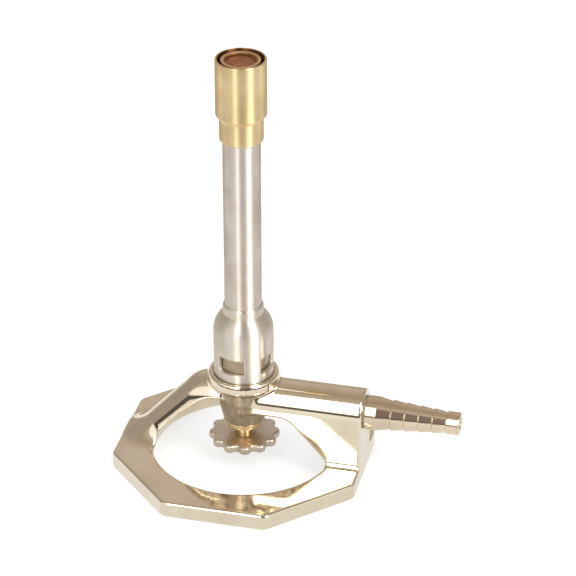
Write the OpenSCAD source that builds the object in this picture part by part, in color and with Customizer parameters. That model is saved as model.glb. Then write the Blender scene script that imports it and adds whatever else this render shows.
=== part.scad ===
// Laboratory gas burner: cast foot with a hose nipple, a needle valve below the
// hub, and a barrel that screws up and down over an air boss to open its windows.
// The origin is the centre of the foot's underside, on the burner axis.
// +Z runs up the burner tube and +X runs along the gas arm to the hose nipple.

/* [Foot] */
// Distance across the flats of the octagonal foot
foot_flats = 86.3; // [84:0.1:92]
// Height of the foot ring
foot_h = 5.7; // [5:0.1:7]
// Radius of the round opening in the foot
foot_open_r = 32.5; // [30:0.1:34]
// Wall thickness of the cored casting
cast_wall = 2.4; // [1.8:0.1:2.8]

/* [Legs and gas arm] */
// Width of the plain leg
leg_w = 15.2; // [13:0.1:17]
// Height of the flat tops of the leg and the arm
leg_top_z = 32.5; // [32:0.1:33]
// Height of the gas arm's axis
inlet_z = 24.3; // [24.2:0.1:24.6]
// Height of the arm's underside beside the valve boss
arm_under_z = 22.3; // [21.6:0.1:22.6]
// Height of the plain leg's underside beside the valve boss
leg_under_z = 26.6; // [26:0.1:27]

/* [Hub] */
// Radius of the hub's widest ring
hub_r = 12.5; // [12.2:0.1:13]
// Height of the lip around the air collar
hub_lip_z = 35.4; // [35.2:0.1:35.8]
// Radius of the threaded boss inside the air collar
boss_r = 8.9; // [8.6:0.05:9.2]
// Height of the valve boss's bottom face
valve_face_z = 16; // [15.6:0.1:16.6]

/* [Air collar] */
// Radius of the air collar
collar_r = 10.35; // [10.3:0.05:10.5]
// Height of the collar's bottom edge when it is screwed down
collar_z = 34.9; // [34.88:0.01:35]
// Height of the lower edge of the air windows
window_z = 38.5; // [38.2:0.1:38.8]
// Height of each air window
window_h = 5.9; // [5:0.1:6.2]
// Angle each air window spans, in degrees
window_deg = 56; // [40:1:64]
// Turn of the windows from the gas arm, in degrees
window_turn = -13; // [-90:1:90]

/* [Burner tube and tip] */
// Outer diameter of the burner tube
tube_od = 12.7; // [12.5:0.1:12.9]
// Inner diameter of the burner tube
tube_id = 10.9; // [10.7:0.1:11.1]
// Height of the tip sleeve's lower edge
tip_z = 124.4; // [110:0.1:140]
// Length of the whole tip sleeve
tip_len = 28.8; // [28:0.1:32]
// Radius of the tip sleeve's wide part
tip_r = 8.5; // [8.3:0.05:9]

/* [Hose nipple] */
// Length of the nipple outside the arm
nipple_len = 33.1; // [30:0.1:36]
// Largest radius of the first barb
barb_r = 5.45; // [5.3:0.05:5.6]
// Number of barbs
barb_count = 5; // [3:1:6]

/* [Gas valve] */
// Radius of the knob over its lobes
knob_r = 12.3; // [11:0.1:13]
// Thickness of the knob
knob_h = 2.9; // [2.5:0.1:3]
// Number of lobes around the knob
knob_lobes = 12; // [8:1:16]

/* [Hidden] */
$fn = 96;

eps = 0.01;       // overlap between two joined shapes
cut = 1;          // length by which a cut runs past the face it opens
play = 0.05;      // radial clearance of a running fit
seat_play = 0.02; // radial clearance of a screwed or pressed fit
flat_gap = 0.1;   // gap under the collar when it is screwed down

nickel = [0.75, 0.68, 0.58];
alloy = [0.86, 0.84, 0.80];
yellow = [0.80, 0.66, 0.40];
steel = [0.62, 0.62, 0.64];
fibre = [0.45, 0.24, 0.18];
black = [0.08, 0.08, 0.08];

// Casting
arm_end_x = foot_flats / 2;
foot_corner_r = arm_end_x / cos(22.5);
foot_core_h = foot_h - cast_wall;
leg_foot_x = arm_end_x - 2.55;
leg_slope = 1.08;
leg_shoulder_x = leg_foot_x - (leg_top_z - foot_h) / leg_slope;
leg_notch_x = 12.2;
arm_notch_x = 17.2;
leg_knee = [27.6, 12.7];
root = 0.6;       // depth a leg runs into the foot before it ends
core_inset = 1;   // distance from a leg's notch to its core
edge = 0.5;       // small chamfer on the castings
arm_r = leg_top_z - inlet_z;
arm_core_z = inlet_z + 3.4;
recess_r = collar_r + 0.35;
lip_r = hub_r - 1.1;
seat_z = collar_z - flat_gap;
hub_band_z = hub_lip_z - 2.5;
hub_band_h = 0.9;
hub_under_r = 9;
hub_under_z = 29.2;
valve_boss_r = 7.2;
valve_flare_z = 21.6;
valve_flare_r = 8.4;
boss_top_z = window_z + window_h + 1;
boss_bore_r = 6.9;
cup_floor_z = 33.5;

duct_end_x = arm_end_x - 1;

// Gas ways and threads inside the casting
gas_way_r = 1.6;
inlet_bore_r = 4;
inlet_depth = 9;
duct_r = 3.6;
duct_boss_r = 6.2;
duct_boss_len = 12;
valve_bore_r = 4.5;
valve_bore_z = 23.1;
chamber_r = 3;
jet_bore_r = 3.5;
jet_bore_z = 28.6;

// Air collar
collar_full_z = 52;
neck_r = 7;
neck_top_z = 61.4;
neck_lip_h = 1;
tube_ledge_h = 1;
dome_r = 8.54;
window_count = 4;
tube_z = 52;
cavity_z = 47;
ring_z = collar_z + 1.8;
ring_wire_r = 0.35;
groove_depth = 0.85;
ring_gap_deg = 20;

// Burner tube and tip
tube_r = tube_od / 2;
bore_r = tube_id / 2;
tip_top_z = tip_z + tip_len;
skirt_r = tip_r - 1.17;
skirt_z = tip_z + 7.8;
wide_z = tip_z + 9.2;
lip_wall = 0.78;
lip_ease = 0.2;
core_z = tip_z + 12.2;
core_flange_h = 1.8;
core_r = 6.62;
core_bore_r = 5.45;
core_top_z = tip_top_z - 0.3;
core_step = 0.35;
port_r = 0.5;
port_lift = 0.5;
port_count = 8;
screen_z = tip_top_z - 1.9;
screen_h = 0.5;
screen_hole_r = 0.42;
screen_rim = 0.2;
screen_pitch = 1.3;
screen_rings = 3;
keeper_h = 0.7;
keeper_w = 0.6;
keeper_gap = 1;

// Hose nipple
nipple_root_r = 6;
nipple_root_len = 9.3;
nipple_neck_len = 4.4;
nipple_neck_drop = 0.45;
nipple_bore_r = 2;
gasket_h = 0.5;
barb_pitch = (nipple_len - nipple_root_len) / barb_count;
barb_fall = 1.45;
barb_step = 0.75;
barb_edge = 0.25;
land_r = barb_r - barb_fall;
thread_gap = 0.5;
tip_ease = 0.5;

// Gas valve, from the top down
jet_head_z = cup_floor_z + gasket_h;
jet_top_z = jet_head_z + 5.5;
jet_hole_r = 0.55;
jet_way_r = 0.95;
needle_z = [27.8, 31.7];
needle_slope = 0.3125;
needle_r = 1.6;
needle_gap = 0.04;
jet_hex_r = 4.6;
jet_hex_h = 2.5;
jet_nose_r = 3;
jet_nose_h = 4.2;
jet_end_r = 1.5;
jet_drill_h = 2;
bonnet_flange_r = 6;
bonnet_flange_z = [13.6, valve_face_z - gasket_h];
bonnet_top_z = valve_bore_z - eps * 10;
stem_r = 2;
stem_land = 0.04;
land_h = 0.6;
thread_lead = 0.4;
needle_lead = 0.6;
small_gap = 0.2;
stem_thread_r = 2.5;
stem_thread_z = [20.2, 23.2];
bonnet_thread_z = 18.8;
oring_r = 0.5;
oring_z = 17.6;
oring_bore_r = 3.05;
gland_r = 4;
gland_z = 12;
gland_spigot_r = 3.5;
gland_spigot_top_z = 14.5;
shoulder_r = 2.75;
shoulder_z = 11.5;
knob_top_z = 10.3;
knob_z = knob_top_z - knob_h;
spigot_r = 1.5;
screw_r = 1;
screw_head_r = 2.5;
screw_head_h = 1.2;
screw_len = 3;
screw_slot_w = 0.8;
screw_slot_h = 0.6;
washer_h = 0.4;
washer_r = 2.3;
lobe_r = 2.1;
lobe_rise = 1.6;  // from the valleys between the lobes to their tops

// Points along a circular arc, from angle a0 to angle a1
function arc(centre, r, a0, a1, steps = 8) =
    [for (i = [0:steps]) let (a = a0 + (a1 - a0) * i / steps)
        [centre[0] + r * cos(a), centre[1] + r * sin(a)]];

// Ring between two radii and two heights
module ring(r_out, r_in, z0, z1) {
    translate([0, 0, z0])
    difference() {
        cylinder(r = r_out, h = z1 - z0);
        translate([0, 0, -cut]) cylinder(r = r_in, h = z1 - z0 + 2 * cut);
    }
}

// Cylinder along the burner axis between two heights
module post(r, z0, z1) {
    translate([0, 0, z0]) cylinder(r = r, h = z1 - z0);
}

// Cylinder along the gas arm's axis between two distances from the burner axis
module arm_rod(r, x0, x1) {
    translate([x0, 0, inlet_z]) rotate([0, 90, 0]) cylinder(r = r, h = x1 - x0);
}

// Profile in the X-Z plane, extruded across the width w
module side_profile(points, w) {
    rotate([90, 0, 0]) linear_extrude(w, center = true) polygon(points);
}

module foot_ring() {
    linear_extrude(foot_h)
    difference() {
        rotate(22.5) circle(r = foot_corner_r, $fn = 8);
        circle(r = foot_open_r);
    }
}

// Channel under the foot ring, left by the casting core
module foot_channel() {
    translate([0, 0, -cut]) linear_extrude(foot_core_h + cut)
    difference() {
        rotate(22.5) circle(r = foot_corner_r - cast_wall / cos(22.5), $fn = 8);
        circle(r = foot_open_r + cast_wall);
    }
}

// Sloping leg on the side away from the gas arm
module leg() {
    mirror([1, 0, 0])
    side_profile([
        [0, leg_under_z], [leg_notch_x, leg_under_z], leg_knee,
        [foot_open_r + root, foot_h - 2 * root], [foot_open_r + root, root],
        [leg_foot_x + root, root], [leg_foot_x + root, foot_h - root * leg_slope],
        [leg_shoulder_x, leg_top_z], [0, leg_top_z],
    ], leg_w);
}

// Core inside the leg, open below
module leg_core() {
    slope_wall = cast_wall * sqrt(1 + leg_slope * leg_slope);
    hub_x = leg_notch_x + core_inset;
    inner_x = foot_open_r + cast_wall + root;
    foot_x = leg_shoulder_x + (leg_top_z - slope_wall - foot_core_h + root) / leg_slope;
    mirror([1, 0, 0])
    side_profile([
        [hub_x, leg_under_z - cut], [leg_knee[0], leg_knee[1] - cut],
        [foot_open_r - cut, foot_h + root], [inner_x, foot_h + root], [inner_x, -cut],
        [foot_x, -cut], [foot_x, foot_core_h - root],
        [hub_x, leg_top_z - slope_wall - (hub_x - leg_shoulder_x) * leg_slope],
    ], leg_w - 2 * cast_wall);
}

// Round-topped arm that carries the gas way down to the foot's flat
module gas_arm_shell() {
    intersection() {
        rotate([90, 0, 90]) linear_extrude(arm_end_x)
            polygon(concat([[-arm_r, 0], [arm_r, 0]], arc([0, inlet_z], arm_r, 0, 180, 24)));
        side_profile([
            [0, arm_under_z], [arm_notch_x, arm_under_z],
            [foot_open_r + root, foot_h - 2 * root], [foot_open_r + root, root],
            [arm_end_x + cut, root], [arm_end_x + cut, leg_top_z + cut], [0, leg_top_z + cut],
        ], 2 * (arm_r + cut));
    }
}

// Core inside the arm, open below
module gas_arm_core() {
    inner_x = foot_open_r + cast_wall + root;
    end_x = arm_end_x - cast_wall - root;
    start_x = arm_notch_x + core_inset;
    side_profile([
        [start_x, arm_under_z - 3 * cut], [foot_open_r - cut, foot_h + root],
        [inner_x, foot_h + root], [inner_x, -cut], [end_x, -cut], [end_x, arm_core_z],
        [start_x, arm_core_z],
    ], 2 * (arm_r - cast_wall));
}

module hub_body() {
    shoulder_w = hub_r - lip_r;
    shoulder_h = hub_lip_z - hub_band_z;
    rotate_extrude()
    polygon(concat(
        [[0, valve_face_z], [valve_boss_r - edge, valve_face_z],
         [valve_boss_r, valve_face_z + edge], [valve_flare_r, valve_flare_z],
         [hub_under_r, hub_under_z], [hub_r, hub_band_z - hub_band_h]],
        [for (a = [0:15:75]) [lip_r + shoulder_w * cos(a), hub_band_z + shoulder_h * sin(a)]],
        [[lip_r, hub_lip_z], [recess_r, hub_lip_z], [recess_r, seat_z], [boss_r, seat_z],
         [boss_r, boss_top_z - edge], [boss_r - edge, boss_top_z], [0, boss_top_z]]
    ));
}

module base_casting() {
    color(nickel)
    difference() {
        union() {
            difference() {
                union() {
                    foot_ring();
                    leg();
                    gas_arm_shell();
                }
                foot_channel();
                leg_core();
                gas_arm_core();
            }
            arm_rod(duct_r, 0, duct_end_x);
            arm_rod(duct_boss_r, arm_end_x - duct_boss_len, duct_end_x);
            hub_body();
        }
        post(valve_bore_r, valve_face_z - cut, valve_bore_z);
        post(chamber_r, valve_bore_z - cut, jet_bore_z);
        post(jet_bore_r, jet_bore_z - flat_gap, cup_floor_z + cut);
        post(boss_bore_r, cup_floor_z, boss_top_z + cut);
        arm_rod(gas_way_r, 0, duct_end_x);
        arm_rod(inlet_bore_r, arm_end_x - inlet_depth, arm_end_x + cut);
    }
}

// Revolved barbs: each one is widest at its end nearer the arm
module hose_nipple() {
    root_x = arm_end_x + gasket_h;
    barb_x = arm_end_x + nipple_root_len;
    tip_x = arm_end_x + nipple_len;
    thread_x = arm_end_x - inlet_depth + thread_gap;
    color(nickel)
    translate([0, 0, inlet_z]) rotate([0, 90, 0])
    rotate_extrude()
    polygon(concat(
        [[nipple_bore_r, thread_x], [inlet_bore_r - seat_play, thread_x],
         [inlet_bore_r - seat_play, root_x], [nipple_root_r, root_x],
         [nipple_root_r, arm_end_x + nipple_neck_len], [barb_r - nipple_neck_drop, barb_x]],
        [for (i = [0:barb_count - 2])
            let (r = barb_r - barb_fall * i / (barb_count - 1), x = barb_x + i * barb_pitch)
            each [[r, x + barb_edge], [r - barb_step, x + barb_pitch]]],
        [[land_r, tip_x - barb_pitch + barb_edge], [land_r, tip_x - tip_ease],
         [land_r - tip_ease, tip_x], [nipple_bore_r + tip_ease, tip_x],
         [nipple_bore_r, tip_x - tip_ease]]
    ));
}

module nipple_gasket() {
    color(fibre)
    translate([arm_end_x, 0, inlet_z]) rotate([0, 90, 0])
    ring(nipple_root_r - small_gap, inlet_bore_r + play, 0, gasket_h);
}

// Brass jet screwed into the hub: the needle shuts against its lower mouth
module gas_orifice() {
    mouth_r = needle_r - (jet_bore_z - needle_z[0]) * needle_slope + needle_gap;
    seat_top_z = jet_bore_z + (mouth_r - jet_way_r) / needle_slope;
    color(yellow)
    difference() {
        union() {
            post(jet_bore_r - seat_play, jet_bore_z, jet_head_z + cut);
            translate([0, 0, jet_head_z]) cylinder(r = jet_hex_r, h = jet_hex_h, $fn = 6);
            post(jet_nose_r, jet_head_z + jet_hex_h - edge, jet_head_z + jet_nose_h);
            translate([0, 0, jet_head_z + jet_nose_h])
                cylinder(r1 = jet_nose_r, r2 = jet_end_r, h = jet_top_z - jet_head_z - jet_nose_h);
        }
        translate([0, 0, jet_bore_z])
            cylinder(r1 = mouth_r, r2 = jet_way_r, h = seat_top_z - jet_bore_z);
        post(mouth_r, jet_bore_z - cut, jet_bore_z + eps);
        post(jet_way_r, seat_top_z - eps, jet_top_z - jet_drill_h);
        post(jet_hole_r, jet_top_z - jet_drill_h - cut, jet_top_z + cut);
    }
}

module orifice_gasket() {
    color(fibre)
    ring(jet_hex_r - small_gap, jet_bore_r + play, cup_floor_z, cup_floor_z + gasket_h);
}

module valve_bonnet() {
    color(yellow)
    difference() {
        union() {
            post(bonnet_flange_r, bonnet_flange_z[0], bonnet_flange_z[1]);
            post(valve_bore_r - seat_play, bonnet_flange_z[0] + eps, bonnet_top_z);
        }
        post(gland_spigot_r, gland_z, gland_spigot_top_z + flat_gap);
        post(oring_bore_r, gland_z, bonnet_thread_z);
        post(stem_thread_r + play, gland_z, bonnet_top_z + cut);
    }
}

module bonnet_gasket() {
    color(fibre)
    ring(bonnet_flange_r - small_gap, valve_bore_r + play, bonnet_flange_z[1], valve_face_z);
}

module gland_nut() {
    color(yellow)
    difference() {
        union() {
            post(gland_r, gland_z, bonnet_flange_z[0]);
            post(gland_spigot_r - seat_play, gland_z + eps, gland_spigot_top_z);
        }
        post(stem_r + play, gland_z - cut, gland_spigot_top_z + cut);
    }
}

module stem_oring() {
    color(black)
    translate([0, 0, oring_z]) rotate_extrude()
    translate([stem_r + play + oring_r, 0]) circle(r = oring_r, $fn = 24);
}

// Valve stem: shoulder for the knob, thread, then the needle at the top
module needle_stem() {
    groove_half = oring_r + play;
    hole_r = screw_r + seat_play;
    wide_r = stem_r + stem_land;
    hole_top_z = knob_z + screw_len;
    needle_tip_r = needle_r - needle_slope * (needle_z[1] - needle_z[0]);
    color(yellow)
    rotate_extrude()
    polygon([
        [hole_r, knob_z + small_gap], [spigot_r, knob_z + small_gap], [spigot_r, knob_top_z],
        [shoulder_r, knob_top_z], [shoulder_r, shoulder_z - small_gap],
        [shoulder_r - small_gap, shoulder_z], [stem_r, shoulder_z],
        [wide_r, oring_z - groove_half - land_h], [wide_r, oring_z - groove_half],
        [stem_r, oring_z - groove_half], [stem_r, oring_z + groove_half],
        [wide_r, oring_z + groove_half], [wide_r, stem_thread_z[0] - thread_lead],
        [stem_thread_r, stem_thread_z[0]], [stem_thread_r, stem_thread_z[1]],
        [needle_r, stem_thread_z[1] + needle_lead], [needle_r, needle_z[0]],
        [needle_tip_r, needle_z[1]], [0, needle_z[1]], [0, hole_top_z], [hole_r, hole_top_z],
    ]);
}

// Handwheel with round lobes
module gas_knob() {
    color(alloy)
    translate([0, 0, knob_z]) linear_extrude(knob_h)
    difference() {
        union() {
            circle(r = knob_r - lobe_rise);
            for (i = [0:knob_lobes - 1])
                rotate((i + 0.5) * 360 / knob_lobes)
                translate([knob_r - lobe_r, 0]) circle(r = lobe_r, $fn = 32);
        }
        circle(r = spigot_r + seat_play);
    }
}

module knob_washer() {
    color(steel) ring(washer_r, screw_r + play, knob_z - washer_h, knob_z);
}

// Slotted screw that holds the knob on the stem from below
module knob_screw() {
    head_z = knob_z - washer_h - screw_head_h;
    color(steel)
    difference() {
        union() {
            post(screw_head_r, head_z, head_z + screw_head_h);
            post(screw_r, head_z + eps, knob_z + screw_len - small_gap);
        }
        translate([-screw_head_r - cut, -screw_slot_w / 2, head_z - cut])
            cube([2 * (screw_head_r + cut), screw_slot_w, cut + screw_slot_h]);
    }
}

// Domed collar with air windows: its bore screws over the hub's boss
module air_collar() {
    bore = boss_r + play;
    groove_half = ring_wire_r + flat_gap;
    dome_x = collar_r - dome_r;
    dome_deg = acos((neck_r - dome_x) / dome_r);
    socket_r = tube_r + seat_play;
    color(alloy)
    difference() {
        rotate_extrude()
        polygon(concat(
            [[bore, collar_z], [collar_r - edge, collar_z], [collar_r, collar_z + edge]],
            arc([dome_x, collar_full_z], dome_r, 0, dome_deg, 10),
            [[neck_r, neck_top_z], [socket_r + flat_gap, neck_top_z + neck_lip_h],
             [socket_r, neck_top_z + neck_lip_h], [socket_r, tube_z], [bore_r, tube_z],
             [bore_r, tube_z - tube_ledge_h], [bore, cavity_z],
             [bore, ring_z + groove_half], [boss_r + groove_depth, ring_z + groove_half],
             [boss_r + groove_depth, ring_z - groove_half], [bore, ring_z - groove_half]]
        ));
        for (i = [0:window_count - 1])
            translate([0, 0, window_z])
            rotate(window_turn - window_deg / 2 + i * 360 / window_count)
            rotate_extrude(angle = window_deg)
            translate([boss_r - cut, 0]) square([collar_r - boss_r + 2 * cut, window_h]);
    }
}

// Split wire ring that grips the boss so the collar keeps its setting
module friction_ring() {
    color(steel)
    translate([0, 0, ring_z]) rotate(ring_gap_deg / 2)
    rotate_extrude(angle = 360 - ring_gap_deg)
    translate([boss_r + play + ring_wire_r, 0]) circle(r = ring_wire_r, $fn = 24);
}

module burner_tube() {
    color(alloy) ring(tube_r, bore_r, tube_z, core_z);
}

module tip_sleeve() {
    socket_r = tube_r + seat_play;
    color(yellow)
    rotate_extrude()
    polygon([
        [socket_r, tip_z], [skirt_r - edge, tip_z], [skirt_r, tip_z + edge],
        [skirt_r, skirt_z], [tip_r, wide_z], [tip_r, tip_top_z - lip_ease],
        [tip_r - lip_ease, tip_top_z], [tip_r - lip_wall, tip_top_z],
        [tip_r - lip_wall, core_z], [socket_r, core_z],
    ]);
}

// Inner mouth: ports near its foot feed the ring gap that holds the flame
module tip_core() {
    flange_top_z = core_z + core_flange_h;
    color(yellow)
    difference() {
        rotate_extrude()
        polygon([
            [core_bore_r - core_step, core_z], [tip_r - lip_wall - seat_play, core_z],
            [tip_r - lip_wall - seat_play, flange_top_z], [core_r, flange_top_z],
            [core_r, core_top_z - lip_ease], [core_r - lip_ease, core_top_z],
            [core_bore_r, core_top_z], [core_bore_r, screen_z],
            [core_bore_r - core_step, screen_z],
        ]);
        for (i = [0:port_count - 1])
            rotate(i * 360 / port_count)
            translate([core_bore_r - cut, 0, flange_top_z + port_r + port_lift])
            rotate([0, 90, 0]) cylinder(r = port_r, h = core_r - core_bore_r + 2 * cut);
    }
}

// Pierced disc across the mouth
module flame_screen() {
    reach = core_bore_r - core_step - screen_hole_r - screen_rim;
    color(yellow)
    translate([0, 0, screen_z]) linear_extrude(screen_h)
    difference() {
        circle(r = core_bore_r - seat_play);
        for (i = [-screen_rings:screen_rings], j = [-screen_rings:screen_rings])
            let (x = (i + j / 2) * screen_pitch, y = j * screen_pitch * sin(60))
            if (norm([x, y]) < reach) translate([x, y]) circle(r = screen_hole_r, $fn = 24);
    }
}

// Split ring that keeps the screen on its step
module screen_ring() {
    z = screen_z + screen_h;
    color(yellow)
    difference() {
        ring(core_bore_r - seat_play, core_bore_r - keeper_w, z, z + keeper_h);
        translate([0, -keeper_gap / 2, z - cut])
            cube([core_bore_r + cut, keeper_gap, keeper_h + 2 * cut]);
    }
}

base_casting();
hose_nipple();
nipple_gasket();
gas_orifice();
orifice_gasket();
valve_bonnet();
bonnet_gasket();
gland_nut();
stem_oring();
needle_stem();
gas_knob();
knob_washer();
knob_screw();
air_collar();
friction_ring();
burner_tube();
tip_sleeve();
tip_core();
flame_screen();
screen_ring();
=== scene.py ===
"""Looks for the laboratory gas burner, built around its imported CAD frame.

Cast, milled and drilled pieces are carved from distance shapes, plain turned ones come from
outlines, and the gauze is woven wire by wire. Shapes are worked out in mm and stored in metres.
"""

import math
from collections import namedtuple

import bpy
import numpy as np
import openvdb
from mathutils import Matrix, Vector


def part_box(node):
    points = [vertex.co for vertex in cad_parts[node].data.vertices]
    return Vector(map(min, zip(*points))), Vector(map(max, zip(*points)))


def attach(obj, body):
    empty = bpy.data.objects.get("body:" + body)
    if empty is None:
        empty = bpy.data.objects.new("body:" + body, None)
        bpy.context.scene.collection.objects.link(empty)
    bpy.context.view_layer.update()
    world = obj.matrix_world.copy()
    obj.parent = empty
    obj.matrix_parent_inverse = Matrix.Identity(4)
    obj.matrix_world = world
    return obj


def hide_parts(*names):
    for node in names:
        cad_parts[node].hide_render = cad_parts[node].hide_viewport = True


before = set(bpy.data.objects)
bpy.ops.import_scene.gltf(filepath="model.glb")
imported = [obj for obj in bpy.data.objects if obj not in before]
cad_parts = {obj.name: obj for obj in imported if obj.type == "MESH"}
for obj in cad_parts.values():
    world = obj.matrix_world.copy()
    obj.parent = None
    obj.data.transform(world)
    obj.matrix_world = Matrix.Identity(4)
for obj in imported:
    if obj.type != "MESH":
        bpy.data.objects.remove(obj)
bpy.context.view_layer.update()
MM = 0.001


def box_mm(node):
    """Lowest and highest corner of a CAD node at rest, in mm."""
    return [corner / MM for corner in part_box(node)]


# ---------------------------------------------------------------- distance shapes, in mm
def smin(a, b, k):
    """Smaller of two distances, blended over a band k wide: a fillet between two solids."""
    h = np.clip(0.5 + 0.5 * (b - a) / k, 0, 1)
    return b * (1 - h) + a * h - k * h * (1 - h)


def smax(a, b, k):
    """Larger of two distances, blended over a band k wide: a rounded edge."""
    return -smin(-a, -b, k)


def outline_distance(u, v, points):
    """Signed distance from (u, v) to a closed outline, negative inside."""
    best = np.full(u.shape, 1e9)
    inside = np.zeros(u.shape, bool)
    for (u0, v0), (u1, v1) in zip(points, points[1:] + points[:1]):
        du, dv = u1 - u0, v1 - v0
        t = np.clip(((u - u0) * du + (v - v0) * dv) / (du * du + dv * dv), 0, 1)
        best = np.minimum(best, (u - u0 - t * du) ** 2 + (v - v0 - t * dv) ** 2)
        if dv:
            crosses = ((v0 <= v) != (v1 <= v)) & (u < u0 + (v - v0) * du / dv)
            inside ^= crosses
    return np.where(inside, -1, 1) * np.sqrt(best)


def rod_distance(radial, along, radius, low, high):
    """Distance to a round rod, from the distances off and along its axis."""
    return np.maximum(radial - radius, np.maximum(low - along, along - high))


def gradient(shape, points, step=0.02):
    """Direction in which a distance grows fastest, at each point."""
    g = np.empty_like(points)
    for i in range(3):
        d = np.zeros(3)
        d[i] = step
        g[:, i] = (shape(points + d) - shape(points - d)) / (2 * step)
    return g


def new_object(name, points, faces, normals=None):
    """A smooth-shaded mesh from points in mm; normals, where given, are one per point."""
    mesh = bpy.data.meshes.new(name)
    mesh.from_pydata((np.asarray(points, float) * MM).tolist(), [], faces)
    mesh.update()
    mesh.shade_smooth()
    if normals is not None:
        mesh.normals_split_custom_set_from_vertices(np.asarray(normals, float).tolist())
    piece = bpy.data.objects.new(name, mesh)
    bpy.context.scene.collection.objects.link(piece)
    return piece


def carved(name, shape, low, high, voxel):
    """Mesh of the zero surface of a distance shape, with its points pulled onto that surface.

    The distances are sampled slab by slab on a grid of voxels that spans the box.
    """
    low, high = np.array(low, float) - 2 * voxel, np.array(high, float) + 2 * voxel
    count = np.ceil((high - low) / voxel).astype(int) + 1
    ys = low[1] + voxel * np.arange(count[1])
    zs = low[2] + voxel * np.arange(count[2])
    field = np.empty(count, np.float32)
    for i in range(count[0]):
        y, z = np.meshgrid(ys, zs, indexing="ij")
        slab = np.stack([np.full(y.shape, low[0] + voxel * i), y, z], -1).reshape(-1, 3)
        field[i] = shape(slab).reshape(y.shape)
    band = 3 * voxel
    grid = openvdb.FloatGrid(background=band)
    grid.copyFromArray(np.clip(field, -band, band))
    points, triangles, quads = grid.convertToPolygons(isovalue=0.0, adaptivity=0.0)
    points = points.astype(float) * voxel + low
    for _ in range(3):
        g = gradient(shape, points)
        step = shape(points) / np.maximum((g * g).sum(1), 0.25)
        points -= g * np.clip(step, -voxel, voxel)[:, None]
    normals = gradient(shape, points)
    normals /= np.maximum(np.linalg.norm(normals, axis=1), 1e-6)[:, None]
    return new_object(name, points, quads.tolist() + triangles.tolist(), normals)


# ---------------------------------------------------------------- turned shapes
def rounded(corners, closed=True, steps=5):
    """Outline with each corner (u, v, radius) replaced by an arc: a list of (point, normal)."""
    out = []
    n = len(corners)
    for i, (u, v, radius) in enumerate(corners):
        here = np.array([u, v], float)
        if not closed and i in (0, n - 1):
            there = np.array(corners[1 if i == 0 else n - 2][:2], float)
            d = (there - here) if i == 0 else (here - there)
            d /= np.linalg.norm(d)
            out.append((here, np.array([d[1], -d[0]])))
            continue
        before = np.array(corners[i - 1][:2], float) - here
        after = np.array(corners[(i + 1) % n][:2], float) - here
        lb, la = np.linalg.norm(before), np.linalg.norm(after)
        before, after = before / lb, after / la
        half = math.acos(max(-1, min(1, float(before @ after)))) / 2
        reach = min(radius / math.tan(half), 0.45 * lb, 0.45 * la)
        radius = reach * math.tan(half)
        mid = (before + after) / np.linalg.norm(before + after)
        centre = here + mid * (radius / math.sin(half))
        start, end = here + before * reach, here + after * reach
        turn = before[0] * after[1] - before[1] * after[0]
        side = 1 if turn < 0 else -1
        a0 = math.atan2(*(start - centre)[::-1])
        a1 = math.atan2(*(end - centre)[::-1])
        sweep = (a1 - a0 + math.pi) % (2 * math.pi) - math.pi
        for k in range(steps + 1):
            a = a0 + sweep * k / steps
            ray = np.array([math.cos(a), math.sin(a)])
            out.append((centre + radius * ray, ray * side))
    return out


def turned(name, corners, closed=True, segments=144, along="Z", offset=(0, 0, 0)):
    """Piece turned about an axis from (radius, distance along, corner radius) corners.

    Corners run anticlockwise in the (radius, along) plane. An open outline starts and ends
    on the axis.
    """
    outline = rounded(corners, closed)
    points, normals, faces, rows = [], [], [], []
    for (r, h), (nr, nh) in outline:
        if r < 1e-6:
            rows.append([len(points)] * segments)
            points.append((0, 0, h))
            normals.append((0, 0, 1 if nh >= 0 else -1))
            continue
        rows.append(list(range(len(points), len(points) + segments)))
        for s in range(segments):
            a = 2 * math.pi * s / segments
            points.append((r * math.cos(a), r * math.sin(a), h))
            normals.append((nr * math.cos(a), nr * math.sin(a), nh))
    following = rows[1:] + rows[:1] if closed else rows[1:]
    for low, high in zip(rows, following):
        for s in range(segments):
            t = (s + 1) % segments
            face = [low[s], low[t], high[t], high[s]]
            face = [p for k, p in enumerate(face) if p != face[k - 1]]
            if len(face) > 2:
                faces.append(face)
    points, normals = np.array(points, float), np.array(normals, float)
    if along == "X":
        points, normals = points[:, [2, 0, 1]], normals[:, [2, 0, 1]]
    return new_object(name, points + np.array(offset, float), faces, normals)


# ---------------------------------------------------------------- materials
def linear(r, g, b):
    """Colour given as sRGB 0-255, as Blender's linear RGBA."""
    def one(c):
        c /= 255
        return c / 12.92 if c <= 0.04045 else ((c + 0.055) / 1.055) ** 2.4
    return (one(r), one(g), one(b), 1)


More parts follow.
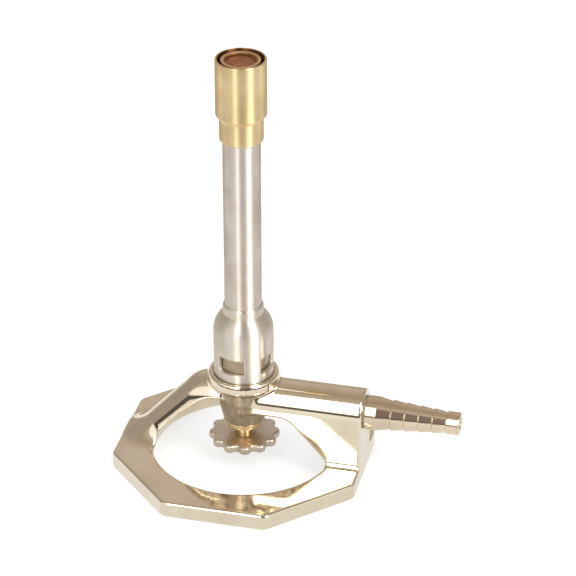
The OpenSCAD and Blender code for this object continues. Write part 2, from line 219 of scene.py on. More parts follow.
class Nodes:
    """Short names for building a material's or a world's nodes.

    A value may be a number, a colour or another node's output.
    """

    def __init__(self, owner):
        owner.use_nodes = True
        self.tree = owner.node_tree
        self.tree.nodes.clear()

    def add(self, kind, inputs=None, **settings):
        node = self.tree.nodes.new(kind)
        for key, value in settings.items():
            setattr(node, key, value)
        for key, value in (inputs or {}).items():
            self.put(node.inputs[key], value)
        return node

    def noise(self, vector, scale, detail=3, roughness=0.5):
        node = self.add("ShaderNodeTexNoise", {"Vector": vector, "Scale": scale,
                                                "Detail": detail, "Roughness": roughness})
        return node.outputs["Fac"]

    def spread(self, value, low, high, from_low=0.0, from_high=1.0):
        """Value carried over from one range to another, in a straight line."""
        node = self.add("ShaderNodeMapRange", {"Value": value, "From Min": from_low,
                                                "From Max": from_high, "To Min": low, "To Max": high})
        return node.outputs["Result"]

    def stretch(self, vector, scale):
        node = self.add("ShaderNodeMapping", {"Vector": vector, "Scale": scale})
        return node.outputs["Vector"]

    def mix(self, factor, a, b):
        """Blend of two colours. The sockets are set by place: 0 factor, 6 and 7 the colours."""
        node = self.add("ShaderNodeMix", data_type="RGBA")
        for place, value in ((0, factor), (6, a), (7, b)):
            self.put(node.inputs[place], value)
        return node.outputs[2]

    def math(self, operation, a, b=0.0):
        node = self.add("ShaderNodeMath", operation=operation)
        self.put(node.inputs[0], a)
        self.put(node.inputs[1], b)
        return node.outputs["Value"]

    def dot(self, vector, direction):
        node = self.add("ShaderNodeVectorMath", {0: vector, 1: direction}, operation="DOT_PRODUCT")
        return node.outputs["Value"]

    def put(self, socket, value):
        if isinstance(value, bpy.types.NodeSocket):
            self.tree.links.new(value, socket)
        else:
            socket.default_value = value

    def band(self, value, low, high, soft):
        """1 where value lies between low and high, falling to 0 over soft on each side."""
        rise = self.smooth(value, low - soft, low + soft)
        fall = self.smooth(value, high - soft, high + soft)
        return self.math("SUBTRACT", rise, fall)

    def smooth(self, value, low, high):
        """0 below low, 1 above high, and eased between them. Low may be the larger one."""
        node = self.add("ShaderNodeMapRange", {"Value": value, "From Min": low, "From Max": high},
                        interpolation_type="SMOOTHSTEP")
        return node.outputs["Result"]

    def ramp(self, value, stops):
        """Colour at a value from 0 to 1, between (place, colour) stops."""
        node = self.add("ShaderNodeValToRGB", {"Fac": value})
        elements = node.color_ramp.elements
        while len(elements) < len(stops):
            elements.new(0.5)
        for element, (place, colour) in zip(elements, stops):
            element.position = place
            element.color = (*colour[:3], 1)
        return node.outputs["Color"]


RUBBED = (1.0, 0.97, 0.9, 1)    # colour of bright metal on a rubbed edge

# Painted shade, with a rougher finish: darker metal within a radius of the burner's axis and above a
# height, both in metres.
ShadeAndRough = namedtuple("ShadeAndRough", "radius above colour tint rougher")


def metal(name, colour, tint, rough, wave=0.0, rings=0.0, grain=0.25, turned_about=None,
          shade_and_rough=None, wear=0.35):
    """Metal with uneven tone, fine wear, edges that are rubbed brighter, and tool marks.

    wave is the height in mm of a casting's slow ripple, and rings that of a lathe's marks.
    A turned piece has brushed highlights about the axis named by turned_about.
    Inside the given radius and above the given height the colour is painted darker, as shade, and the
    finish is rougher.
    """
    material = bpy.data.materials.new(name)
    n = Nodes(material)
    place = n.add("ShaderNodeTexCoord").outputs["Object"]
    pointed = n.add("ShaderNodeNewGeometry").outputs["Pointiness"]
    edge = n.smooth(pointed, 0.52, 0.60)
    cloud = n.noise(place, 90, 4)
    speck = n.noise(place, 2600, 2)
    base = n.mix(n.spread(cloud, 0.0, 1.0, 0.35, 0.65), colour, tint)
    base = n.mix(n.math("MULTIPLY", edge, wear), base, RUBBED)
    smudge = n.noise(place, 45, 5, 0.6)
    roughness = n.spread(smudge, rough * 0.8, rough * 1.35, 0.35, 0.7)
    scratches = n.stretch(place, (120, 120, 4000) if turned_about else (900, 900, 60))
    scratch = n.noise(scratches, 1.0, 4, 0.7)
    roughness = n.math("ADD", roughness, n.spread(scratch, -0.02, 0.05, 0.3, 0.8))
    # painted shade: darker colour inside the radius and above the height, plus a rougher finish there
    if shade_and_rough:
        reach = n.add("ShaderNodeVectorMath", {"Vector": n.stretch(place, (1, 1, 0))},
                      operation="LENGTH").outputs["Value"]
        level = n.add("ShaderNodeSeparateXYZ", {"Vector": place}).outputs["Z"]
        core = n.math("MULTIPLY", n.smooth(reach, shade_and_rough.radius + 0.0004, shade_and_rough.radius),
                      n.smooth(level, shade_and_rough.above - 0.0005, shade_and_rough.above))
        shade_mottle = n.noise(n.stretch(place, (900, 900, 200)), 1.0, 4, 0.6)
        painted_shade = n.mix(n.spread(shade_mottle, 0, 1, 0.35, 0.65), shade_and_rough.colour, shade_and_rough.tint)
        base = n.mix(core, base, painted_shade)
        roughness = n.math("ADD", roughness, n.math("MULTIPLY", core, shade_and_rough.rougher))
    ripple = n.spread(n.noise(place, 70, 1), -wave, wave)
    height = n.math("ADD", ripple, n.spread(speck, 0, 0.0015 * grain))
    if rings:
        lathe = n.noise(n.stretch(place, (25, 25, 3200)), 1.0, 3, 0.65)
        height = n.math("ADD", height, n.spread(lathe, -rings, rings, 0.2, 0.8))
    bump = n.add("ShaderNodeBump", {"Height": height, "Distance": MM, "Strength": 1.0})
    inputs = {"Base Color": base, "Metallic": 1.0, "Roughness": roughness,
              "Normal": bump.outputs["Normal"]}
    if turned_about:
        inputs["Anisotropic"] = 0.95
        inputs["Anisotropic Rotation"] = 0.25
        inputs["Tangent"] = n.add("ShaderNodeTangent", direction_type="RADIAL",
                                  axis=turned_about).outputs["Tangent"]
    shader = n.add("ShaderNodeBsdfPrincipled", inputs)
    n.add("ShaderNodeOutputMaterial", {"Surface": shader.outputs["BSDF"]})
    return material


def matt(name, colour, tint, rough, height):
    """Rubber or pressed fibre: no metal, a fine felted grain."""
    material = bpy.data.materials.new(name)
    n = Nodes(material)
    place = n.add("ShaderNodeTexCoord").outputs["Object"]
    grain = n.noise(place, 2200, 4, 0.7)
    base = n.mix(n.spread(n.noise(place, 700, 3), 0, 1, 0.3, 0.7), colour, tint)
    bump = n.add("ShaderNodeBump", {"Height": grain, "Distance": height * MM, "Strength": 1.0})
    shader = n.add("ShaderNodeBsdfPrincipled", {
        "Base Color": base, "Roughness": n.spread(grain, rough - 0.1, rough + 0.1),
        "Normal": bump.outputs["Normal"]})
    n.add("ShaderNodeOutputMaterial", {"Surface": shader.outputs["BSDF"]})
    return material


# the casting's bosses, the inside of the brass mouth and the flame ring's bore get painted shade and
# a rougher finish
NICKEL = metal("nickel_plate", linear(238, 228, 207), linear(230, 217, 195), 0.07, wave=0.012,
               shade_and_rough=ShadeAndRough(0.0092, 0, linear(186, 172, 150), linear(158, 143, 124), 0.30))
NIPPLE_METAL = metal("nipple_plate", linear(232, 216, 194), linear(218, 200, 176), 0.15, rings=0.0006)
ALUMINIUM = metal("turned_aluminium", linear(244, 238, 227), linear(234, 227, 215), 0.40,
                  rings=0.0010, turned_about="Z")
TUBE_METAL = metal("drawn_tube", linear(241, 232, 223), linear(230, 220, 210), 0.42,
                   rings=0.0010, turned_about="Z")
BRASS = metal("turned_brass", linear(250, 227, 178), linear(240, 213, 162), 0.38,
              rings=0.0008, turned_about="Z",
              shade_and_rough=ShadeAndRough(0.0077, 0.137, linear(146, 104, 68), linear(116, 78, 48), 0.1))
CORE_BRASS = metal("mouth_brass", linear(226, 190, 146), linear(208, 166, 124), 0.38, rings=0.0008,
                   shade_and_rough=ShadeAndRough(0.0053, 0, linear(160, 114, 78), linear(130, 88, 58), 0.1), wear=0.1)
GAUZE_BRASS = metal("gauze_brass", linear(236, 182, 146), linear(188, 132, 98), 0.4, wear=0.0)
BRIGHT_BRASS = metal("bright_brass", linear(234, 206, 156), linear(220, 188, 134), 0.24, rings=0.0006)
KNOB_METAL = metal("knob_plate", linear(226, 216, 204), linear(208, 196, 182), 0.36, wave=0.01,
                   grain=1.0)
STEEL = metal("bright_steel", linear(190, 190, 192), linear(170, 170, 174), 0.2)
RUBBER = matt("rubber", linear(22, 22, 22), linear(34, 33, 32), 0.7, 0.01)
FIBRE = matt("pressed_fibre", linear(150, 138, 122), linear(120, 108, 94), 0.8, 0.03)


def put(piece, body, material, node):
    """Rides a piece on its body in place of a CAD node, with its material."""
    piece.data.materials.clear()
    piece.data.materials.append(material)
    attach(piece, body)
    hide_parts(node)


# ---------------------------------------------------------------- the casting
base_low, base_high = box_mm("base_casting")
nipple_low, nipple_high = box_mm("hose_nipple")

FLAT = base_high.y                                # centre to each flat of the octagon
INLET_Z = (nipple_low.z + nipple_high.z) / 2      # height of the gas arm's axis
FOOT_H, OPEN_R, WALL = 5.7, 32.5, 2.4
LEG_TOP, LEG_R, LEG_SLOPE, LEG_FOOT = 32.5, 8.2, 1.08, FLAT - 2.55
LEG_SHOULDER = LEG_FOOT - (LEG_TOP - FOOT_H) / LEG_SLOPE
ARM_R, ARM_DRAFT = LEG_TOP - INLET_Z, 0.02
# corners of the arches under the leg and the arm: distance from the axis, height
LEG_ARCH = ((12.2, 26.6), (27.6, 12.7), (33.1, 4.5))
ARM_ARCH = ((17.2, 22.3), (33.1, 4.5))
LEG_HOLLOW, ARM_HOLLOW = 13.2, 18.2               # where the hollows start, out from the axis
ARM_HOLLOW_TOP, ARM_END_WALL = 3.4, WALL + 0.6
HUB_R, HUB_BAND, HUB_LIP, HUB_LIP_R, RECESS_R, SEAT_Z = 12.5, 32.9, 35.4, 11.4, 10.7, 34.8
BOSS_R, BOSS_TOP, CUP_R, CUP_FLOOR = 8.9, base_high.z, 6.9, 33.5
VALVE_FACE, VALVE_FACE_R = 16.0, 6.8
DUCT_R, DUCT_END_R, DUCT_END_LEN = 3.6, 6.2, 12
# holes about the burner's axis, then about the arm's: radius, start, end
HUB_HOLES = ((CUP_R, CUP_FLOOR, BOSS_TOP + 5), (3.5, 28.5, CUP_FLOOR + 1), (3.0, 20, 29),
             (4.5, VALVE_FACE - 5, 23.1))
ARM_HOLES = ((1.6, 0, FLAT), (4.0, FLAT - 9, FLAT + 5))
# widths of the blends between surfaces
EDGE, CORNER, SHOULDER_BLEND = 0.5, 1.2, 3.6
LEG_FILLET, ARM_FILLET, HUB_FILLET = 6.5, 2.6, 1.6


def below_line(u, z, start, end):
    """Distance below the line through two points of the (u, z) plane."""
    du, dz = end[0] - start[0], end[1] - start[1]
    return ((u - start[0]) * dz - (z - start[1]) * du) / math.hypot(du, dz)


def hub_outline():
    """Half outline of valve boss, hub, collar seat and air boss, up from the valve's face."""
    shoulder = [(HUB_LIP_R + (HUB_R - HUB_LIP_R) * math.cos(math.radians(a)),
                 HUB_BAND + (HUB_LIP - HUB_BAND) * math.sin(math.radians(a)))
                for a in range(0, 81, 8)]
    valve_boss = [(0, VALVE_FACE), (VALVE_FACE_R, VALVE_FACE), (7.2, VALVE_FACE + 0.4),
                  (8.4, 21.6), (9.0, 29.2)]
    band = [(HUB_R - 0.25, HUB_BAND - 1.1), (HUB_R, HUB_BAND - 0.8)]
    lip = [(HUB_LIP_R - 0.15, HUB_LIP), (RECESS_R + 0.1, HUB_LIP), (RECESS_R, HUB_LIP - 0.1)]
    air_boss = [(RECESS_R, SEAT_Z), (BOSS_R, SEAT_Z), (BOSS_R, BOSS_TOP - 0.4),
                (BOSS_R - 0.4, BOSS_TOP), (0, BOSS_TOP)]
    return valve_boss + band + shoulder + lip + air_boss


HUB = hub_outline()


def casting(p):
    """Distance to the cast foot, leg, gas arm, hub, valve boss and air boss."""
    x, y, z = p[:, 0], p[:, 1], p[:, 2]
    ax, ay, r = np.abs(x), np.abs(y), np.hypot(x, y)
    octagon = smax(smax(ax, ay, CORNER), (ax + ay) / math.sqrt(2), CORNER) - FLAT
    inner_wall = r - (OPEN_R + WALL)
    foot_top = z - FOOT_H
    foot = smax(foot_top, OPEN_R - r, CORNER)
    opening = np.maximum(inner_wall, foot_top)    # with its wall, which the hollows leave whole

    u = -x                                        # along the leg, out from the hub
    slope = (z - LEG_TOP + (u - LEG_SHOULDER) * LEG_SLOPE) / math.hypot(1, LEG_SLOPE)
    leg_top = smax(z - LEG_TOP, slope - 0.4, SHOULDER_BLEND)
    arch = smin(below_line(u, z, *LEG_ARCH[:2]), below_line(u, z, *LEG_ARCH[1:]), 2.0)
    under = smin(LEG_ARCH[0][1] - z, arch, 3.0)
    leg_round = np.hypot(y, np.maximum(LEG_R + leg_top, 0)) - LEG_R
    leg = smax(smax(leg_round, under, 0.9), x - 2, EDGE)
    leg_core = smax(leg_round + WALL, LEG_HOLLOW - u, 1.0)
    leg_core = np.maximum(leg_core, -opening)

    below_axis = np.maximum(INLET_Z - z, 0)
    arm_round = np.hypot(y, np.maximum(z - INLET_Z, 0)) - ARM_R - below_axis * ARM_DRAFT
    under = smin(ARM_ARCH[0][1] - z, below_line(x, z, *ARM_ARCH), 3.0)
    arm = smax(smax(arm_round, under, 0.9), -x, EDGE)
    arm_core = smax(smax(arm_round + WALL, z - INLET_Z - ARM_HOLLOW_TOP, 1.5),
                    np.maximum(ARM_HOLLOW - x, x - FLAT + ARM_END_WALL), 1.0)
    arm_core = np.maximum(arm_core, -opening)

    body = smin(smin(foot, leg, LEG_FILLET), arm, ARM_FILLET)
    channel = smax(np.maximum(octagon + WALL, -inner_wall), z - FOOT_H + WALL, 1.0)
    body = smax(body, octagon, CORNER)
    for hollow in (channel, leg_core, arm_core, z):
        body = smax(body, -hollow, EDGE)

    about_arm = np.hypot(y, z - INLET_Z)
    duct = smin(rod_distance(about_arm, x, DUCT_R, 0, FLAT - 1),
                rod_distance(about_arm, x, DUCT_END_R, FLAT - DUCT_END_LEN, FLAT - 1), 1.0)
    body = smin(body, duct, 1.0)
    body = smin(body, outline_distance(r, z, HUB), HUB_FILLET)
    # the collar's seat and the boss stay clear of the blend
    body = smax(body, -np.maximum(np.maximum(r - RECESS_R, BOSS_R - r), SEAT_Z - z), 0.2)

    for hole in HUB_HOLES:
        body = smax(body, -rod_distance(r, z, *hole), 0.3)
    for hole in ARM_HOLES:
        body = smax(body, -rod_distance(about_arm, x, *hole), 0.3)
    return body


put(carved("casting", casting, base_low, base_high, voxel=0.42), "base", NICKEL, "base_casting")

# ---------------------------------------------------------------- hose nipple
ARM_END, TIP_X = base_high.x, nipple_high.x
ROOT_R, GASKET_H, ROOT_LEN, NECK_LEN, NECK_DROP = 6.0, 0.5, 9.3, 4.4, 0.45
BARBS, BARB_R, BARB_FALL, BARB_STEP, BARB_EDGE = 5, 5.45, 1.45, 0.75, 0.25
NIPPLE_BORE, THREAD_R = 2.0, 3.98


def nipple_corners():
    """Outline of the nipple along X: thread, root, then barbs that narrow towards the tip."""
    pitch = (TIP_X - ARM_END - ROOT_LEN) / BARBS
    corners = [(NIPPLE_BORE, nipple_low.x, 0.1), (THREAD_R, nipple_low.x, 0.3),
               (THREAD_R, ARM_END + GASKET_H, 0.1), (ROOT_R, ARM_END + GASKET_H, 0.35),
               (ROOT_R, ARM_END + NECK_LEN, 0.8), (BARB_R - NECK_DROP, ARM_END + ROOT_LEN, 0.2)]
    for i in range(BARBS - 1):
        r, x = BARB_R - BARB_FALL * i / (BARBS - 1), ARM_END + ROOT_LEN + i * pitch
        corners += [(r, x + BARB_EDGE, 0.18), (r - BARB_STEP, x + pitch, 0.15)]
    land = BARB_R - BARB_FALL
    corners += [(land, TIP_X - pitch + BARB_EDGE, 0.15), (land, TIP_X, 0.5),
                (NIPPLE_BORE, TIP_X, 0.5)]
    return corners


put(turned("nipple", nipple_corners(), along="X", offset=(0, 0, INLET_Z)), "base", NIPPLE_METAL,
    "hose_nipple")

# ---------------------------------------------------------------- air collar
collar_low, collar_high = box_mm("air_collar")
COLLAR_R, COLLAR_BORE, COLLAR_FULL, DOME_R = collar_high.x, 8.95, 52.0, 8.54
NECK_R, TUBE_R, TUBE_BORE, CAVITY_Z = 7.0, 6.37, 5.45, 47.0
WINDOWS, WINDOW_Z, WINDOW_H, WINDOW_DEG, WINDOW_TURN = 4, 38.5, 5.9, 56, -13
GROOVE_R, GROOVE_LOW, GROOVE_HIGH = 9.75, 36.25, 37.15


def collar_outline():
    """Half outline of the collar: skirt, dome and neck outside, stepped bore inside."""
    dome_x = COLLAR_R - DOME_R
    dome_end = math.acos((NECK_R - dome_x) / DOME_R)
    dome = [(dome_x + DOME_R * math.cos(dome_end * i / 12),
             COLLAR_FULL + DOME_R * math.sin(dome_end * i / 12)) for i in range(13)]
    low, top = collar_low.z, collar_high.z
    skirt = [(COLLAR_BORE, low), (COLLAR_R - 0.35, low), (COLLAR_R, low + 0.35)]
    neck = [(NECK_R, top - 1), (TUBE_R + 0.1, top)]
    bore = [(TUBE_R, top), (TUBE_R, COLLAR_FULL), (TUBE_BORE, COLLAR_FULL),
            (TUBE_BORE, COLLAR_FULL - 1), (COLLAR_BORE, CAVITY_Z)]
    groove = [(COLLAR_BORE, GROOVE_HIGH), (GROOVE_R, GROOVE_HIGH), (GROOVE_R, GROOVE_LOW),
              (COLLAR_BORE, GROOVE_LOW)]
    return skirt + dome + neck + bore + groove


COLLAR = collar_outline()


def collar(p):
    """Distance to the collar, with a rounded slot for each air window."""
    x, y, z = p[:, 0], p[:, 1], p[:, 2]
    r = np.hypot(x, y)
    body = outline_distance(r, z, COLLAR)
    spacing = 2 * math.pi / WINDOWS
    turn = np.arctan2(y, x) - math.radians(WINDOW_TURN)
    turn = (turn + spacing / 2) % spacing - spacing / 2
    across = (np.abs(turn) - math.radians(WINDOW_DEG / 2)) * r
    window = smax(across, np.abs(z - WINDOW_Z - WINDOW_H / 2) - WINDOW_H / 2, 0.6)
    return smax(body, -np.maximum(window, BOSS_R - 1 - r), 0.25)


put(carved("collar", collar, collar_low, collar_high, voxel=0.24), "barrel", ALUMINIUM,
    "air_collar")

# ---------------------------------------------------------------- tube and tip
tube_low, tube_high = box_mm("burner_tube")
sleeve_low, sleeve_high = box_mm("tip_sleeve")
core_low, core_high = box_mm("tip_core")
screen_low, screen_high = box_mm("flame_screen")

put(turned("tube", [(TUBE_BORE, tube_low.z, 0.1), (tube_high.x, tube_low.z, 0.1),
                    (tube_high.x, tube_high.z, 0.1), (TUBE_BORE, tube_high.z, 0.1)]),
    "barrel", TUBE_METAL, "burner_tube")

TIP_R, SKIRT_R, LIP_IN = sleeve_high.x, 7.33, 7.72
SKIRT_TOP, WIDE_Z = sleeve_low.z + 7.8, sleeve_low.z + 9.2
put(turned("tip", [(TUBE_R, sleeve_low.z, 0.1), (SKIRT_R, sleeve_low.z, 0.45),
                   (SKIRT_R, SKIRT_TOP, 0.4), (TIP_R, WIDE_Z, 0.5), (TIP_R, sleeve_high.z, 0.28),
                   (LIP_IN, sleeve_high.z, 0.2), (LIP_IN, core_low.z, 0.2),
                   (TUBE_R, core_low.z, 0.1)]),
    "barrel", BRASS, "tip_sleeve")

CORE_R, CORE_BORE, CORE_STEP_BORE, FLANGE_H = 6.62, 5.45, 5.1, 1.8
PORTS, PORT_R, PORT_LIFT = 8, 0.5, 0.5


def tip_core(p):
    """Distance to the mouth's inner ring: flange, ring, step for the gauze and a row of ports."""
    x, y, z = p[:, 0], p[:, 1], p[:, 2]
    r = np.hypot(x, y)
    flange_top = core_low.z + FLANGE_H
    flange = rod_distance(r, z, core_high.x, core_low.z, flange_top)
    body = smax(smin(flange, rod_distance(r, z, CORE_R, core_low.z, core_high.z), 0.3),
                z - core_high.z, 0.3)
    body = smax(body, -rod_distance(r, z, CORE_BORE, screen_low.z, core_high.z + 2), 0.25)
    body = smax(body, CORE_STEP_BORE - r, 0.1)
    spacing = 2 * math.pi / PORTS
    turn = (np.arctan2(y, x) + spacing / 2) % spacing - spacing / 2
    port = np.hypot(r * np.sin(turn), z - flange_top - PORT_R - PORT_LIFT) - PORT_R
    return smax(body, -port, 0.15)


put(carved("flame_ring", tip_core, core_low, core_high, voxel=0.2), "barrel", CORE_BRASS,
    "tip_core")


def gauze(name, radius, z, pitch=0.62, wire=0.11, sides=6, per_pitch=6):
    """Woven wire gauze: round wires along X and Y that pass over and under each other."""
    points, faces = [], []
    count = int(radius / pitch)
    for along in (0, 1):
        for i in range(-count, count + 1):
            half = math.sqrt(radius * radius - (i * pitch) ** 2)
            steps = max(4, int(2 * half / pitch * per_pitch))
            for k in range(steps + 1):
                t = -half + 2 * half * k / steps
                phase = math.pi * (t / pitch + i + along)
                lift = (wire + 0.01) * math.cos(phase)
                for s in range(sides):
                    a = 2 * math.pi * s / sides
                    side, up = i * pitch + wire * math.cos(a), z + lift + wire * math.sin(a)
                    points.append((t, side, up) if along else (side, t, up))
                if k:
                    first = len(points) - 2 * sides
                    for s in range(sides):
                        n = (s + 1) % sides
                        ring = [first + s, first + n, first + sides + n, first + sides + s]
                        faces.append(ring if along else ring[::-1])
            ends = len(points)
            cap = list(range(ends - sides, ends))
            start = list(range(ends - sides * (steps + 1), ends - sides * steps))
            faces.append(cap if along else cap[::-1])
            faces.append(start[::-1] if along else start)
    return new_object(name, points, faces)


put(gauze("mouth_gauze", screen_high.x, (screen_low.z + screen_high.z) / 2), "barrel",
    GAUZE_BRASS, "flame_screen")

# ---------------------------------------------------------------- gas valve
bonnet_low, bonnet_high = box_mm("valve_bonnet")
gland_low, gland_high = box_mm("gland_nut")
stem_low, stem_high = box_mm("needle_stem")
knob_low, knob_high = box_mm("gas_knob")
SHARP, CRISP = 0.05, 0.1                      # radii of corners that look sharp
FLANGE_TOP, BONNET_R, BONNET_BORE = 15.5, 4.48, 2.55
SEAL_R, SEAL_TOP, SPIGOT_BORE, SPIGOT_TOP = 3.05, 18.8, 3.5, 14.6
NUT_TOP, NUT_SPIGOT, NUT_BORE = bonnet_low.z, 3.48, 2.05

put(turned("bonnet", [(SPIGOT_BORE, bonnet_low.z, 0.15), (bonnet_high.x, bonnet_low.z, 0.3),
                      (bonnet_high.x, FLANGE_TOP, 0.3), (BONNET_R, FLANGE_TOP, CRISP),
                      (BONNET_R, bonnet_high.z, 0.2), (BONNET_BORE, bonnet_high.z, 0.2),
                      (BONNET_BORE, SEAL_TOP, SHARP), (SEAL_R, SEAL_TOP, SHARP),
                      (SEAL_R, SPIGOT_TOP, SHARP), (SPIGOT_BORE, SPIGOT_TOP, SHARP)]),
    "base", BRIGHT_BRASS, "valve_bonnet")
put(turned("gland", [(NUT_BORE, gland_low.z, 0.15), (gland_high.x, gland_low.z, 0.3),
                     (gland_high.x, NUT_TOP, 0.2), (NUT_SPIGOT, NUT_TOP, CRISP),
                     (NUT_SPIGOT, gland_high.z, CRISP), (NUT_BORE, gland_high.z, CRISP)]),
    "base", BRIGHT_BRASS, "gland_nut")

STEM_R, THREAD_OUT, THREAD_LOW, THREAD_TOP, THREAD_LEAD = 2.0, 2.5, 20.4, 23.2, 0.4
NEEDLE_R, NEEDLE_LOW, NEEDLE_CONE, POINT_R = 1.6, 23.8, 27.8, 0.38
SHOULDER_R, SHOULDER_H, SPIGOT_R, HOLE_R, HOLE_RISE = stem_high.x, 1.2, 1.5, 1.02, 3
KNOB_BORE = 1.52


def stem_corners():
    """Outline of the stem, up from the screw's hole to the needle's point."""
    knob_top, hole_top = knob_high.z, knob_low.z + HOLE_RISE
    shoulder_top = knob_top + SHOULDER_H
    return [(0, hole_top, 0), (HOLE_R, hole_top, SHARP), (HOLE_R, stem_low.z, SHARP),
            (SPIGOT_R, stem_low.z, CRISP), (SPIGOT_R, knob_top, SHARP),
            (SHOULDER_R, knob_top, 0.2), (SHOULDER_R, shoulder_top, 0.25),
            (STEM_R, shoulder_top, CRISP), (STEM_R, THREAD_LOW - THREAD_LEAD, CRISP),
            (THREAD_OUT, THREAD_LOW, CRISP), (THREAD_OUT, THREAD_TOP, CRISP),
            (NEEDLE_R, NEEDLE_LOW, CRISP), (NEEDLE_R, NEEDLE_CONE, CRISP),
            (POINT_R, stem_high.z, 0.08), (0, stem_high.z, 0)]


put(turned("stem", stem_corners(), closed=False), "valve", BRIGHT_BRASS, "needle_stem")

LOBES, LOBE_R, KNOB_R = 12, 2.1, 12.3
HOLLOW_R = KNOB_R - 0.75 * LOBE_R             # down to the bottoms of the hollows


def knob(p):
    """Distance to the knob: round lobes with shallow hollows between them, edges eased."""
    x, y, z = p[:, 0], p[:, 1], p[:, 2]
    r = np.hypot(x, y)
    pitch = 2 * math.pi / LOBES
    turn = np.arctan2(y, x) % pitch - pitch / 2
    lobe = np.hypot(r * np.cos(turn) - (KNOB_R - LOBE_R), r * np.sin(turn)) - LOBE_R
    plan = smin(lobe, r - HOLLOW_R, 0.7)
    middle, half = (knob_low.z + knob_high.z) / 2, (knob_high.z - knob_low.z) / 2
    body = smax(plan, np.abs(z - middle) - half, 1.0)
    return smax(body, KNOB_BORE - r, 0.2)


put(carved("knob", knob, knob_low, knob_high, voxel=0.22), "valve", KNOB_METAL, "gas_knob")

# ---------------------------------------------------------------- small parts kept from the CAD
for node, material in (("nipple_gasket", FIBRE), ("gas_orifice", BRIGHT_BRASS),
                       ("orifice_gasket", FIBRE), ("bonnet_gasket", FIBRE),
                       ("stem_oring", RUBBER), ("knob_washer", STEEL), ("knob_screw", STEEL),
                       ("friction_ring", STEEL), ("screen_ring", CORE_BRASS)):
    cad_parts[node].material_slots[0].material = material

# ---------------------------------------------------------------- camera
TURN, TILT = math.radians(13.53), math.radians(30.345)    # of the line of sight
DISTANCE, LENS, SENSOR = 0.855133, 158.06, 36.0
AIM_ACROSS, AIM_UP, AIM_Z = -0.015224, 0.002024, 0.070    # the aim's shift in the view plane

across = Vector((math.cos(TURN), math.sin(TURN), 0))
away = Vector((-math.sin(TURN), math.cos(TURN), 0))
sight = away * math.cos(TILT) - Vector((0, 0, math.sin(TILT)))
upward = across.cross(sight)
camera_data = bpy.data.cameras.new("camera")
camera_data.lens = LENS
camera_data.sensor_width = SENSOR
camera_data.clip_start = 0.01
camera = bpy.data.objects.new("camera", camera_data)
eye = Vector((0, 0, AIM_Z)) - across * AIM_ACROSS - upward * AIM_UP - sight * DISTANCE
camera.matrix_world = Matrix.Translation(eye) @ Matrix((across, upward, -sight)).transposed().to_4x4()
bpy.context.scene.collection.objects.link(camera)
bpy.context.scene.camera = camera

# ---------------------------------------------------------------- floor and studio light
WARM_WHITE = (1.0, 0.985, 0.96, 1)
HORIZON = (0.10, 0.085, 0.075, 1)          # dark edge of the room, low on the camera's side

# the floor as polished metal shows it, outwards from the burner, and its far side: painted shade, a
# contact shadow darkest at the burner that fades outwards, and a painted shadow over the far side
FLOOR_SHADOW_IN_METAL = [(0.0, (0.58, 0.52, 0.46)), (0.35, (0.84, 0.82, 0.79)), (1.0, (0.97, 0.96, 0.93))]
FLOOR_SHADOW_BEHIND = (0.54, 0.49, 0.41, 1)
FLOOR_GLOW = 0.6                           # how far the floor is pure white to the camera


def floor():
    """White sheet, bright to the camera, that shows in polished metal as a softer warm grey: a glow
    with a painted contact shadow round the burner and a painted shadow behind it.
    """
    bpy.ops.mesh.primitive_circle_add(vertices=96, radius=4, fill_type="NGON")
    sheet = bpy.context.object
    sheet.name = "floor"
    material = bpy.data.materials.new("floor_paper")
    n = Nodes(material)
    place = n.add("ShaderNodeTexCoord").outputs["Object"]
    fibre = n.noise(place, 900, 3)
    bump = n.add("ShaderNodeBump", {"Height": fibre, "Distance": 0.00003, "Strength": 0.3})
    paper = n.add("ShaderNodeBsdfDiffuse", {"Color": (0.93, 0.93, 0.93, 1),
                                            "Normal": bump.outputs["Normal"]})
    reach = n.add("ShaderNodeVectorMath", {"Vector": place}, operation="LENGTH").outputs["Value"]
    ahead = n.dot(place, -away)
    edge = n.math("MULTIPLY", n.smooth(reach, 0.42, 0.62), n.smooth(ahead, 0.0, 0.2))
    # painted shade seen only in reflections: contact shadow near the burner, shadow on the far side
    seen = n.mix(edge, n.ramp(n.smooth(reach, 0.0, 0.10), FLOOR_SHADOW_IN_METAL), HORIZON)
    seen = n.mix(n.smooth(ahead, -0.05, -0.30), seen, FLOOR_SHADOW_BEHIND)
    painted_shade_glow = n.add("ShaderNodeEmission", {"Color": seen, "Strength": 1.0})
    path = n.add("ShaderNodeLightPath")
    lit = n.add("ShaderNodeEmission", {"Color": (1, 1, 1, 1), "Strength": 1.0})
    sheet_white = n.add("ShaderNodeMixShader", {
        0: n.math("MULTIPLY", path.outputs["Is Camera Ray"], FLOOR_GLOW),
        1: paper.outputs[0], 2: lit.outputs[0]})
    mixed = n.add("ShaderNodeMixShader", {0: path.outputs["Is Glossy Ray"],
                                           1: sheet_white.outputs[0], 2: painted_shade_glow.outputs[0]})
    n.add("ShaderNodeOutputMaterial", {"Surface": mixed.outputs[0]})
    sheet.data.materials.append(material)


def radians(*degrees):
    return [math.radians(d) for d in degrees]


def room_stop(degrees, colour):
    """Stop of the room's ramp, which runs from -90 to 90 degrees."""
    return ((degrees + 90) / 180, colour)


# angle from overhead, towards the camera where positive, and the linear colour seen there
ROOM = [room_stop(-90, (0.42, 0.38, 0.30)), room_stop(-60, (0.61, 0.53, 0.475)),
        room_stop(-25, (0.48, 0.41, 0.32)), room_stop(-8, (0.42, 0.355, 0.25)),
        room_stop(28, (0.60, 0.54, 0.49)), room_stop(33, (1.2, 1.19, 1.16)),
        room_stop(89, (1.2, 1.19, 1.16))]
# darker patches of the room: azimuths from the camera's side, elevations where they fade, tone
CAMERA_AZIMUTH, CAMERA_TOP = radians(-12, 25), radians(63, 57)
CAMERA_TONE = (0.24, 0.195, 0.175, 1)
FLANK_AZIMUTH, FLANK_TOP = radians(90, 150), radians(70, 40)
FLANK_TONE = (0.40, 0.36, 0.33, 1)
HORIZON_TOP = radians(8.5, 5.5)


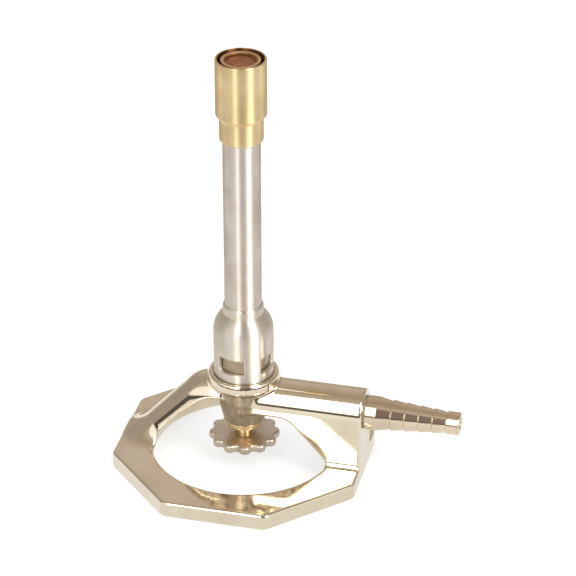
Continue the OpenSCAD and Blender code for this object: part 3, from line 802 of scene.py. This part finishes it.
def studio():
    """Room seen in the metal, by angle from overhead and by azimuth from the camera's side."""
    world = bpy.data.worlds.new("studio")
    bpy.context.scene.world = world
    n = Nodes(world)
    ray = n.add("ShaderNodeTexCoord").outputs["Generated"]
    ahead, right = n.dot(ray, -away), n.dot(ray, across)
    up = n.add("ShaderNodeSeparateXYZ", {"Vector": ray}).outputs["Z"]
    room = n.ramp(n.spread(n.math("ARCTAN2", ahead, up), 0.0, 1.0, -math.pi / 2, math.pi / 2), ROOM)
    azimuth = n.math("ARCTAN2", right, ahead)
    height = n.math("ARCSINE", up)
    camera_side = n.math("MULTIPLY", n.band(azimuth, *CAMERA_AZIMUTH, 0.07),
                         n.smooth(height, *CAMERA_TOP))
    room = n.mix(camera_side, room, CAMERA_TONE)
    flank = n.math("MULTIPLY", n.band(n.math("ABSOLUTE", azimuth), *FLANK_AZIMUTH, 0.3),
                   n.smooth(height, *FLANK_TOP))
    room = n.mix(flank, room, FLANK_TONE)
    horizon = n.math("MULTIPLY", n.smooth(height, *HORIZON_TOP), n.smooth(ahead, -0.1, 0.2))
    room = n.mix(horizon, room, HORIZON)
    glossy = n.add("ShaderNodeLightPath").outputs["Is Glossy Ray"]
    soft = n.add("ShaderNodeBackground", {"Color": WARM_WHITE, "Strength": 1.15})
    seen = n.add("ShaderNodeBackground", {"Color": room, "Strength": 1.0})
    mixed = n.add("ShaderNodeMixShader", {0: glossy, 1: soft.outputs[0], 2: seen.outputs[0]})
    n.add("ShaderNodeOutputWorld", {"Surface": mixed.outputs[0]})


LAMP_DISTANCE = 1.2


def softbox(name, azimuth, elevation, width, height, power):
    """Area light aimed at the burner, placed by its angles in degrees from the camera's side."""
    data = bpy.data.lights.new(name, "AREA")
    data.shape, data.size, data.size_y = "RECTANGLE", width, height
    data.energy = power
    data.color = WARM_WHITE[:3]
    lamp = bpy.data.objects.new(name, data)
    turn, rise = radians(azimuth, elevation)
    out = (-away * math.cos(turn) + across * math.sin(turn)) * math.cos(rise)
    out += Vector((0, 0, math.sin(rise)))
    lamp.location = Vector((0, 0, AIM_Z)) + out * LAMP_DISTANCE
    lamp.rotation_euler = out.to_track_quat("Z", "Y").to_euler()
    bpy.context.scene.collection.objects.link(lamp)


floor()
studio()
softbox("key_left", -25, 35, width=0.20, height=1.1, power=3.8)
softbox("key_right", 45, 35, width=0.34, height=1.1, power=9)
bpy.context.scene.view_settings.view_transform = "Standard"
